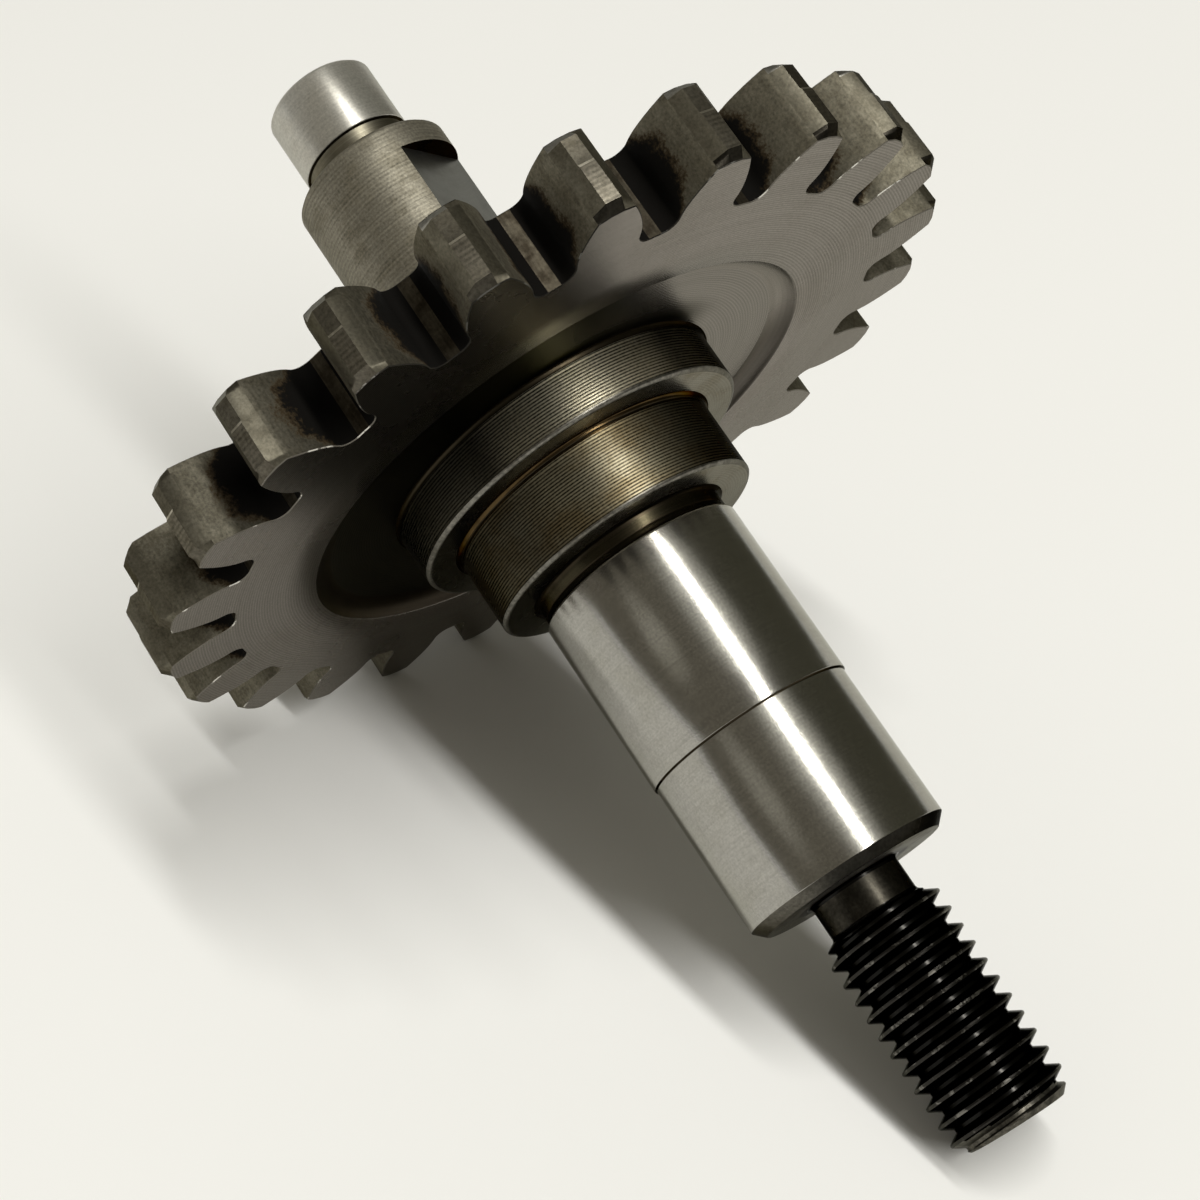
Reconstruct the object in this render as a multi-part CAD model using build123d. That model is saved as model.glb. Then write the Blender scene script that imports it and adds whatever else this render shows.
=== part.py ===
"""Water pump shaft: one turned steel piece with an integral spur gear, in millimetres.

The shaft is drawn along +X, from its small ground journal to its threaded end, with X = 0
on the thread-side face of the gear.  It is then laid down as it comes to rest on a table:
on two gear teeth and the tip of the thread.
"""
import os
from math import acos, asin, atan2, cos, degrees, pi, radians, sin, sqrt, tan

from build123d import *

os.makedirs("parts", exist_ok=True)

# Spur gear, cut in one piece with the shaft
tooth_count = 23
gear_module = 2.84
pressure_angle = 20.0
addendum = 1.0 * gear_module
dedendum = 1.25 * gear_module
root_fillet = 0.38 * gear_module
gear_width = 6.6
tip_chamfer = 0.7
tip_corner_drop = 0.45
tip_corner_cut = 0.22

# Turned recess in the thread-side face of the gear
recess_dia = 44.2
recess_depth = 1.0
recess_nose_radius = 2.2

# Two turned hub steps beyond the recess
hub_dia = 28.3
hub_height = 3.4
hub_chamfer = 0.4
hub_root = 0.4
step_dia = 22.5
step_height = 6.5
step_chamfer = 0.3
step_root = 0.5

# Main ground journal, with its undercut and a slightly smaller end portion
undercut_width = 1.8
undercut_depth = 0.35
journal_dia = 17.0
journal_length = 15.05
end_journal_dia = 16.7
end_journal_length = 13.6
journal_chamfer = 0.85

# Neck and threaded end
neck_dia = 7.25
neck_length = 2.9
thread_dia = 9.85
thread_length = 17.75
thread_chamfer = 1.0

# Drive collar behind the gear, with one milled flat
collar_dia = 13.6
collar_length = 21.9
collar_chamfer = 0.35
flat_height = 5.3
flat_length = 19.5
flat_angle = 148.3

# Small ground journal at the far end
groove_width = 2.1
groove_depth = 0.35
small_journal_dia = 9.5
small_journal_length = 6.3
small_journal_chamfer = 0.35

# Centre holes in both end faces, on which the journals were ground
centre_hole_dia = 3.0
centre_pilot_dia = 1.25
centre_pilot_depth = 1.6
centre_angle = 60.0

# Places along the shaft
hub_end = hub_height
step_end = hub_end + step_height
journal_start = step_end + undercut_width
journal_step = journal_start + journal_length
journal_end = journal_step + end_journal_length
thread_start = journal_end + neck_length
thread_end = thread_start + thread_length
collar_start = -gear_width - collar_length
small_journal_start = collar_start - groove_width
far_end = small_journal_start - small_journal_length

# Gear radii
pitch_radius = gear_module * tooth_count / 2
tip_radius = pitch_radius + addendum
root_radius = pitch_radius - dedendum
base_radius = pitch_radius * cos(radians(pressure_angle))
tooth_pitch = 2 * pi / tooth_count


def involute(angle):
    """The involute function of a pressure angle in radians."""
    return tan(angle) - angle


def half_tooth(radius):
    """Half the angle that a tooth fills at a radius on its flank, in radians."""
    at_pitch = pi / (2 * tooth_count) + involute(radians(pressure_angle))
    return at_pitch - involute(acos(min(1.0, base_radius / radius)))


def polar(radius, angle):
    """A point in the gear's plane, with the angle in radians."""
    return (radius * cos(angle), radius * sin(angle))


def tooth_outline(middle):
    """The edges of one tooth about its middle angle, from one root land to the next."""
    flank_start = max(base_radius, root_radius)
    flank_end = tip_radius - tip_corner_drop
    flank_middle = (flank_start + 2 * flank_end) / 3
    swing = asin(root_fillet / (root_radius + root_fillet))
    fillet_end = sqrt((root_radius + root_fillet) ** 2 - root_fillet ** 2)
    foot = half_tooth(flank_start)
    land = half_tooth(tip_radius) - tip_corner_cut / tip_radius
    edges = []
    for side in (-1, 1):
        fillet_middle = polar(root_radius + root_fillet, middle + side * (foot + swing))
        corner = polar(fillet_end, middle + side * foot)
        low = polar(root_radius, middle + side * (foot + swing))
        bulge = Vector((corner[0] + low[0]) / 2, (corner[1] + low[1]) / 2) - Vector(*fillet_middle)
        mid = Vector(*fillet_middle) + bulge.normalized() * root_fillet
        flank = [polar(r, middle + side * half_tooth(r))
                 for r in (flank_start, flank_middle, flank_end)]
        land_corner = polar(tip_radius, middle + side * land)
        root_middle = middle + side * tooth_pitch / 2
        half_land = tooth_pitch / 2 - foot - swing
        root_half = polar(root_radius, root_middle - side * half_land / 2)
        edges.append(ThreePointArc(low, root_half, polar(root_radius, root_middle)))
        edges.append(ThreePointArc(low, (mid.X, mid.Y), corner))
        edges.append(Line(corner, flank[0]))
        edges.append(ThreePointArc(*flank))
        edges.append(Line(flank[-1], land_corner))
    edges.append(ThreePointArc(polar(tip_radius, middle - land), polar(tip_radius, middle),
                               polar(tip_radius, middle + land)))
    return edges


def gear():
    """The toothed disc, with its tips chamfered at both faces and the turned recess."""
    edges = []
    for i in range(tooth_count):
        edges += tooth_outline((i + 0.5) * tooth_pitch)
    outline = make_face(Wire.combine(edges)[0])
    # The outline's own X axis points down, so a gap between two teeth is at the bottom
    plane = Plane(origin=(-gear_width, 0, 0), x_dir=(0, 0, -1), z_dir=(1, 0, 0))
    toothed = extrude(plane * outline, gear_width)
    blank = turned([
        (-gear_width, 0),
        (-gear_width, tip_radius - tip_chamfer),
        (-gear_width + tip_chamfer, tip_radius),
        (-tip_chamfer, tip_radius),
        (0, tip_radius - tip_chamfer),
        (0, 0),
    ])
    return (toothed & blank) - recess()


def recess():
    """The ring turned out of the gear's face, whose outer wall follows the tool's nose."""
    outer = recess_dia / 2
    run = sqrt(recess_nose_radius ** 2 - (recess_nose_radius - recess_depth) ** 2)
    nose = Vector(-recess_depth + recess_nose_radius, outer - run)
    turn = acos(1 - recess_depth / recess_nose_radius) / 2
    on_nose = (nose.X - recess_nose_radius * cos(turn), nose.Y + recess_nose_radius * sin(turn))
    edges = [
        Line((0, 0), (-recess_depth, 0)),
        Line((-recess_depth, 0), (-recess_depth, outer - run)),
        ThreePointArc((-recess_depth, outer - run), on_nose, (0, outer)),
        Line((0, outer), (0, 0)),
    ]
    return revolve(make_face(edges), Axis.X)


def turned(points):
    """A solid of revolution about the shaft's axis, from (place, radius) points."""
    return revolve(make_face(Polyline(*points, close=True)), Axis.X)


def shaft_body():
    """Every turned and ground diameter of the shaft, without the gear."""
    collar = collar_dia / 2
    small = small_journal_dia / 2
    hub = hub_dia / 2
    step = step_dia / 2
    journal = journal_dia / 2
    end_journal = end_journal_dia / 2
    neck = neck_dia / 2
    thread = thread_dia / 2
    return turned([
        (far_end, 0),
        (far_end, small - small_journal_chamfer),
        (far_end + small_journal_chamfer, small),
        (small_journal_start, small),
        (small_journal_start, small - groove_depth),
        (collar_start, small - groove_depth),
        (collar_start, collar - collar_chamfer),
        (collar_start + collar_chamfer, collar),
        (-gear_width / 2, collar),
        (-gear_width / 2, hub + hub_root),
        (-recess_depth, hub + hub_root),
        (-recess_depth + hub_root, hub),
        (hub_end - hub_chamfer, hub),
        (hub_end, hub - hub_chamfer),
        (hub_end, step + step_root),
        (hub_end + step_root, step),
        (step_end - step_chamfer, step),
        (step_end, step - step_chamfer),
        (step_end, journal - undercut_depth),
        (journal_start, journal - undercut_depth),
        (journal_start, journal),
        (journal_step, journal),
        (journal_step, end_journal),
        (journal_end - journal_chamfer, end_journal),
        (journal_end, end_journal - journal_chamfer),
        (journal_end, neck),
        (thread_start, neck),
        (thread_start + thread_chamfer / 2, thread),
        (thread_end - thread_chamfer, thread),
        (thread_end, thread - thread_chamfer),
        (thread_end, 0),
    ])


def drive_flat():
    """The milled pocket that leaves one flat on the collar, up to the gear's far face."""
    wide = collar_dia
    start = -gear_width - flat_length
    block = Box(flat_length, wide, wide, align=(Align.MIN, Align.CENTER, Align.MIN))
    placed = Pos(start, 0, flat_height) * block
    # The flat's angle is counted from straight down, about the shaft's own axis
    return Rot(flat_angle - 180, 0, 0) * placed


def centre_hole(place, inwards):
    """A centre drill's pilot hole and its 60 degree cone, in one end face."""
    mouth = centre_hole_dia / 2
    pilot = centre_pilot_dia / 2
    cone = (mouth - pilot) / tan(radians(centre_angle / 2))
    return turned([
        (place, 0),
        (place, mouth),
        (place + inwards * cone, pilot),
        (place + inwards * (cone + centre_pilot_depth), pilot),
        (place + inwards * (cone + centre_pilot_depth + pilot), 0),
    ])


def resting_tilt():
    """The shaft's slope, in degrees, on its two lowest teeth and the thread's tip."""
    land = half_tooth(tip_radius) - tip_corner_cut / tip_radius
    gear_drop = tip_radius * cos(tooth_pitch / 2 - land)
    thread_drop = thread_dia / 2
    return degrees(atan2(gear_drop - thread_drop, thread_end - thread_chamfer + tip_chamfer))


def pump_shaft():
    """The whole part along its own axis."""
    part = shaft_body() + gear()
    part -= drive_flat()
    part -= centre_hole(far_end, 1)
    part -= centre_hole(thread_end, -1)
    return part


shaft = Rot(0, resting_tilt(), 0) * pump_shaft()
box = shaft.bounding_box()
shaft = Pos(-box.center().X, -box.center().Y, -box.min.Z) * shaft
solid = shaft.solids()[0]
print("tilt", round(resting_tilt(), 4))
print("gear face centre", -box.center().X, -box.center().Y, -box.min.Z)
solid.label = "pump_shaft"
export_step(solid, "parts/pump_shaft.step")
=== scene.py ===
"""Looks for the water pump shaft: the turned body, the gear and the thread, with their finishes.

Sizes are in millimetres along the shaft's own axis, from the gear's thread-side face, and are
placed in the row's frame by shaft_frame().
"""

from math import acos, asin, ceil, cos, floor, pi, radians, sin, sqrt, tan

import bmesh
import bpy
from mathutils import Matrix, Vector

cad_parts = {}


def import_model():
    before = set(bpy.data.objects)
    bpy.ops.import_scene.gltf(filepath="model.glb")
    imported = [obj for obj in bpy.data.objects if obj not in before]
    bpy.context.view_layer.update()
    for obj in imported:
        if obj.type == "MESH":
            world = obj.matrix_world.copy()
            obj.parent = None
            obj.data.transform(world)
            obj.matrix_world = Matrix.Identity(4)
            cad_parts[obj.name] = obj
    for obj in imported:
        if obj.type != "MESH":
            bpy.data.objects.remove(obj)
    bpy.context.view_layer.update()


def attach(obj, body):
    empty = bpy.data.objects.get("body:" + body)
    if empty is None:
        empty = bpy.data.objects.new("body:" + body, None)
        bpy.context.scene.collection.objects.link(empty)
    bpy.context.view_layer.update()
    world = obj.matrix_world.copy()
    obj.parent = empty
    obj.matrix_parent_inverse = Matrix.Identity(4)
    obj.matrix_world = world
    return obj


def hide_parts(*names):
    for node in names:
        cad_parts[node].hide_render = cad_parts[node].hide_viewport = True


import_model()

MM = 0.001

# Where the shaft lies: its slope, and the middle of the gear's thread-side face
TILT = radians(26.5599)
GEAR_FACE = Vector((-10.67214, 0.0, 31.233228))

# Gear sizes
TEETH = 23
MODULE = 2.84
PRESSURE = radians(20)
GEAR_WIDTH = 6.6
PITCH_RADIUS = MODULE * TEETH / 2
TIP_RADIUS = PITCH_RADIUS + MODULE
ROOT_RADIUS = PITCH_RADIUS - 1.25 * MODULE
BASE_RADIUS = PITCH_RADIUS * cos(PRESSURE)
ROOT_FILLET = 0.38 * MODULE
TIP_CHAMFER = 0.7
TIP_CORNER_DROP = 0.85
TIP_CORNER_CUT = 0.42
EDGE_BURR = 0.07
TIP_STEP = 0.09
TIP_STEP_RUN = 0.2
TIP_STEP_PLACE = 3.75
DISC_BORE = 4.6
FACE_FOOT = 27.6
RECESS_RADIUS = 22.1
RECESS_DEPTH = 1.0
RECESS_NOSE = 2.2

# Radii of the turned lengths, from the far end to the thread
PILOT_RADIUS = 4.75
COLLAR_RADIUS = 6.8
HUB_RADIUS = 14.15
SECOND_HUB_RADIUS = 11.25
JOURNAL_RADIUS = 8.5
END_JOURNAL_RADIUS = 8.35
NECK_RADIUS = 3.625
THREAD_CORE = 3.96

# Flat on the collar: its height over the axis, and its direction counted from straight down
FLAT_HEIGHT = 5.3
FLAT_ANGLE = radians(148.3)
FLAT_START = -26.1

# Thread sizes
THREAD_RADIUS = 4.925
THREAD_ROOT = 4.0
THREAD_PITCH = 1.5
THREAD_START = 43.3
THREAD_END = 60.925
THREAD_FLAT = 0.19
THREAD_FLANK_SLOPE = sqrt(3)

# Ridges that the turning tool left on the two hubs. A crest stands where the wave of the "Tool
# Grooves" shader peaks, a quarter of a pitch on.
RIDGE_PITCH = 0.24
RIDGE_DEPTH = 0.010
RIDGE_CREST = 0.25

# Steps of the meshes: round the body and across its flat, along each part of a tooth's outline, round
# the edges of the gear, over one ridge, and along and round one turn of the thread
BODY_STEPS = 224
FLAT_STEPS = 40
LAND_STEPS = 4
FILLET_STEPS = 6
FLANK_STEPS = 9
CHAMFER_STEPS = 7
NOSE_STEPS = 8
RIDGE_STEPS = 4
THREAD_STEPS = 12
THREAD_COLUMNS = 96

# Distances in metres under which points become one, in the node trees and when a mesh is closed,
# and under which a face is too thin to keep
WELD_DISTANCE = 5e-7
DOUBLE_DISTANCE = 2e-7
THIN_DISTANCE = 1e-7

# The thread's grid counts from 0 at its first row to 1 at its last, and within this it is on them
ROW_MARGIN = 0.00001

# Edges where faces meet at more than this stay sharp in the shading
SMOOTH_ANGLE = radians(34)

# Radii in millimetres that count as the same
SAME_RADIUS = 0.01

# Noise keeps near its middle, so the strength of marks and grain is raised this many times
NOISE_GAIN = 3

# Colours of the burnt oil and painted shade in the tooth gaps, of the floor and of the backdrop,
# and the floor's size and where it fades, in metres
SOOT_AND_SHADE_BROWN = (0.050, 0.036, 0.020)
SOOT_AND_SHADE_BLACK = (0.004, 0.0035, 0.003)
BLACK = (0.0, 0.0, 0.0)
FLOOR_COLOUR = (0.88, 0.88, 0.87)
BACKDROP = (0.86, 0.86, 0.85)
FLOOR_SIZE = 4.0
FLOOR_FADE = (0.6, 1.7)


def shaft_frame():
    """The matrix from the shaft's own axis, in metres, to the row's frame."""
    return Matrix.Translation(GEAR_FACE * MM) @ Matrix.Rotation(TILT, 4, "Y")


def piece(name, mesh):
    """A finished mesh as a piece of the object, riding on the shaft's one body."""
    obj = bpy.data.objects.new(name, mesh)
    bpy.context.scene.collection.objects.link(obj)
    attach(obj, "root")
    return obj


def close_mesh(mesh):
    """Welds doubled points, turns every face outwards and shades smooth between sharp edges."""
    shape = bmesh.new()
    shape.from_mesh(mesh)
    bmesh.ops.remove_doubles(shape, verts=shape.verts, dist=DOUBLE_DISTANCE)
    bmesh.ops.dissolve_degenerate(shape, edges=shape.edges, dist=THIN_DISTANCE)
    bmesh.ops.recalc_face_normals(shape, faces=shape.faces)
    shape.to_mesh(mesh)
    shape.free()
    mesh.shade_smooth()
    mesh.set_sharp_from_angle(angle=SMOOTH_ANGLE)


# Nodes


def add(tree, kind, **values):
    """A node with its plain settings."""
    node = tree.nodes.new(kind)
    for name, value in values.items():
        setattr(node, name, value)
    return node


def feed(tree, socket, value):
    """Links an output to a socket, or sets the socket's own value."""
    if isinstance(value, bpy.types.NodeSocket):
        tree.links.new(value, socket)
    elif isinstance(value, tuple) and len(value) == 3 and socket.type == "RGBA":
        socket.default_value = (*value, 1.0)
    else:
        socket.default_value = value


def calc(tree, operation, *values):
    """A math node's output, fed by sockets or numbers."""
    node = add(tree, "ShaderNodeMath", operation=operation)
    for socket, value in zip(node.inputs, values):
        feed(tree, socket, value)
    return node.outputs[0]


def vector_calc(tree, operation, *values):
    """A vector math node's output, fed by sockets or vectors: a number for a dot product."""
    node = add(tree, "ShaderNodeVectorMath", operation=operation)
    for socket, value in zip(node.inputs, values):
        feed(tree, socket, value)
    return node.outputs["Value" if operation == "DOT_PRODUCT" else "Vector"]


def noise(tree, place, scale, detail=2.0, roughness=0.5):
    """Plain noise at a place."""
    node = add(tree, "ShaderNodeTexNoise")
    feed(tree, node.inputs["Vector"], place)
    feed(tree, node.inputs["Scale"], scale)
    node.inputs["Detail"].default_value = detail
    node.inputs["Roughness"].default_value = roughness
    return node.outputs["Fac"]


def spread(tree, value, low, high):
    """A smooth step from 0 at low to 1 at high."""
    node = add(tree, "ShaderNodeMapRange", interpolation_type="SMOOTHSTEP")
    feed(tree, node.inputs["Value"], value)
    feed(tree, node.inputs["From Min"], low)
    feed(tree, node.inputs["From Max"], high)
    return node.outputs["Result"]


def mix_colour(tree, factor, first, second):
    """A colour mix's output."""
    node = add(tree, "ShaderNodeMix", data_type="RGBA")
    feed(tree, node.inputs["Factor"], factor)
    feed(tree, node.inputs[6], first)
    feed(tree, node.inputs[7], second)
    return node.outputs[2]


def new_tree(kind, name, inputs, outputs):
    """An empty node group with named sockets of named kinds, and its input and output sockets."""
    tree = bpy.data.node_groups.new(name, kind)
    for label, socket_kind in inputs:
        tree.interface.new_socket(name=label, in_out="INPUT", socket_type="NodeSocket" + socket_kind)
    for label, socket_kind in outputs:
        tree.interface.new_socket(name=label, in_out="OUTPUT", socket_type="NodeSocket" + socket_kind)
    return tree, tree.nodes.new("NodeGroupInput").outputs, tree.nodes.new("NodeGroupOutput").inputs


def group_tree(name, inputs, outputs):
    """An empty shader group, whose inputs are numbers with a value each to start from."""
    made = new_tree("ShaderNodeTree", name, [(label, "Float") for label, _ in inputs], outputs)
    for label, value in inputs:
        made[0].interface.items_tree[label].default_value = value
    return made


def use(tree, group, **values):
    """A group placed in a tree, with its inputs set by name."""
    node = add(tree, "ShaderNodeGroup", node_tree=group)
    for label, value in values.items():
        feed(tree, node.inputs[label.replace("_", " ")], value)
    return node.outputs


# Shading groups and materials


def around(degrees):
    """The direction out from the shaft's axis at an angle round it, in the shaft's own frame."""
    return (0.0, cos(radians(degrees)), sin(radians(degrees)))


def position_group():
    """A point's place in the shaft's own frame in millimetres, and the direction outwards there.

    With them come its place along the axis, its distance out and its round place. The round place
    changes fast along and out from the axis, and slowly round it, so noise on it makes marks that
    follow the turning.
    """
    tree, _, out = group_tree(
        "Shaft Position", [],
        [("Place", "Vector"), ("Along", "Float"), ("Out", "Float"), ("Round", "Vector"),
         ("Outwards", "Vector")])
    place = add(tree, "ShaderNodeTexCoord")
    centre = add(tree, "ShaderNodeMapping", vector_type="TEXTURE")
    centre.inputs["Location"].default_value = GEAR_FACE * MM
    centre.inputs["Rotation"].default_value = (0, TILT, 0)
    centre.inputs["Scale"].default_value = (MM, MM, MM)
    feed(tree, centre.inputs["Vector"], place.outputs["Object"])
    split = add(tree, "ShaderNodeSeparateXYZ")
    feed(tree, split.inputs[0], centre.outputs[0])
    along, across, up = split.outputs
    radius = calc(tree, "SQRT", calc(tree, "ADD", calc(tree, "MULTIPLY", across, across),
                                     calc(tree, "MULTIPLY", up, up)))
    safe = calc(tree, "MAXIMUM", radius, 0.01)
    turned = [calc(tree, "DIVIDE", across, safe), calc(tree, "DIVIDE", up, safe)]
    joined = add(tree, "ShaderNodeCombineXYZ")
    feed(tree, joined.inputs["X"], turned[0])
    feed(tree, joined.inputs["Y"], turned[1])
    feed(tree, joined.inputs["Z"], calc(tree, "ADD", along, radius))
    outwards = add(tree, "ShaderNodeCombineXYZ")
    feed(tree, outwards.inputs["Y"], turned[0])
    feed(tree, outwards.inputs["Z"], turned[1])
    for label, value in (("Place", centre.outputs[0]), ("Along", along), ("Out", radius),
                         ("Round", joined.outputs[0]), ("Outwards", outwards.outputs[0])):
        feed(tree, out[label], value)
    return tree


def marks_group():
    """Uneven marks that run round the shaft, as a grinding wheel or a turning tool leaves them."""
    tree, given, out = group_tree("Turning Marks", [("Fineness", 4.0), ("Reach", 1.5)],
                                  [("Marks", "Float")])
    stretch = add(tree, "ShaderNodeCombineXYZ")
    feed(tree, stretch.inputs["X"], given["Reach"])
    feed(tree, stretch.inputs["Y"], given["Reach"])
    feed(tree, stretch.inputs["Z"], given["Fineness"])
    place = vector_calc(tree, "MULTIPLY", use(tree, POSITION)["Round"], stretch.outputs[0])
    feed(tree, out["Marks"], noise(tree, place, 1.0, 3.0, 0.6))
    return tree


def grooves_group():
    """Even fine grooves of a facing or turning cut, a little deeper here than there."""
    tree, given, out = group_tree("Tool Grooves", [("Pitch", 0.23), ("Outward", 1.0)],
                                  [("Grooves", "Float")])
    place = use(tree, POSITION)
    run = calc(tree, "MULTIPLY_ADD", place["Out"], given["Outward"], place["Along"])
    wave = calc(tree, "SINE", calc(tree, "MULTIPLY", calc(tree, "DIVIDE", run, given["Pitch"]), 2 * pi))
    depth = calc(tree, "MULTIPLY_ADD", noise(tree, place["Place"], 0.35), 0.5, 0.2)
    feed(tree, out["Grooves"], calc(tree, "MULTIPLY", wave, depth))
    return tree


def stain_group():
    """Uneven oil and tarnish over the steel, as a mask from 0 to 1."""
    tree, given, out = group_tree("Oil Stain", [("Size", 0.25), ("Start", 0.4), ("End", 0.7)],
                                  [("Mask", "Float")])
    patches = noise(tree, use(tree, POSITION)["Place"], given["Size"], 5.0, 0.62)
    feed(tree, out["Mask"], spread(tree, patches, given["Start"], given["End"]))
    return tree


def grain_group():
    """Fine speckle of hardened steel, and the streaks that a gear cutter leaves along the teeth."""
    tree, given, out = group_tree("Steel Grain", [("Speckle Size", 6.0), ("Streak Share", 0.0)],
                                  [("Grain", "Float")])
    place = use(tree, POSITION)["Place"]
    speckle = noise(tree, place, given["Speckle Size"], 3.0, 0.6)
    streaks = noise(tree, vector_calc(tree, "MULTIPLY", place, (0.35, 4.5, 4.5)), 1.0, 3.0, 0.6)
    left = calc(tree, "SUBTRACT", 1.0, given["Streak Share"])
    feed(tree, out["Grain"], calc(tree, "ADD", calc(tree, "MULTIPLY", speckle, left),
                                  calc(tree, "MULTIPLY", streaks, given["Streak Share"])))
    return tree


def soot_and_shade_group():
    """Burnt oil and painted shade that fill the tooth gaps and thin out ragged towards the tips."""
    tree, given, out = group_tree("Gap Soot And Shade", [("Full Below", 29.6), ("Gone Above", 32.4)],
                                  [("Mask", "Float")])
    place = use(tree, POSITION)
    # Its edge strays in and out, in patches about 3 mm wide and in specks about 0.3 mm wide
    broad = calc(tree, "SUBTRACT", noise(tree, place["Place"], 0.32), 0.5)
    fine = calc(tree, "SUBTRACT", noise(tree, place["Place"], 3.2, 4.0, 0.7), 0.5)
    ragged = calc(tree, "MULTIPLY_ADD", broad, 3.2, calc(tree, "MULTIPLY", fine, 2.6))
    # The teeth that face up get more of this burnt oil and painted shade, and it thins out towards both
    # faces
    facing = vector_calc(tree, "DOT_PRODUCT", place["Outwards"], around(130))
    lift = calc(tree, "MULTIPLY_ADD", facing, -2.2, 1.9)
    from_middle = calc(tree, "ABSOLUTE", calc(tree, "ADD", place["Along"], GEAR_WIDTH / 2))
    ends = calc(tree, "MAXIMUM", calc(tree, "SUBTRACT", from_middle, 1.9), 0.0)
    lift = calc(tree, "MULTIPLY_ADD", ends, 1.2, lift)
    reach = calc(tree, "ADD", calc(tree, "ADD", place["Out"], lift), ragged)
    feed(tree, out["Mask"], calc(tree, "SUBTRACT", 1.0,
                                 spread(tree, reach, given["Full Below"], given["Gone Above"])))
    return tree


POSITION = position_group()
MARKS = marks_group()
GROOVES = grooves_group()
STAIN = stain_group()
GRAIN = grain_group()
SOOT_AND_SHADE = soot_and_shade_group()


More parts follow.
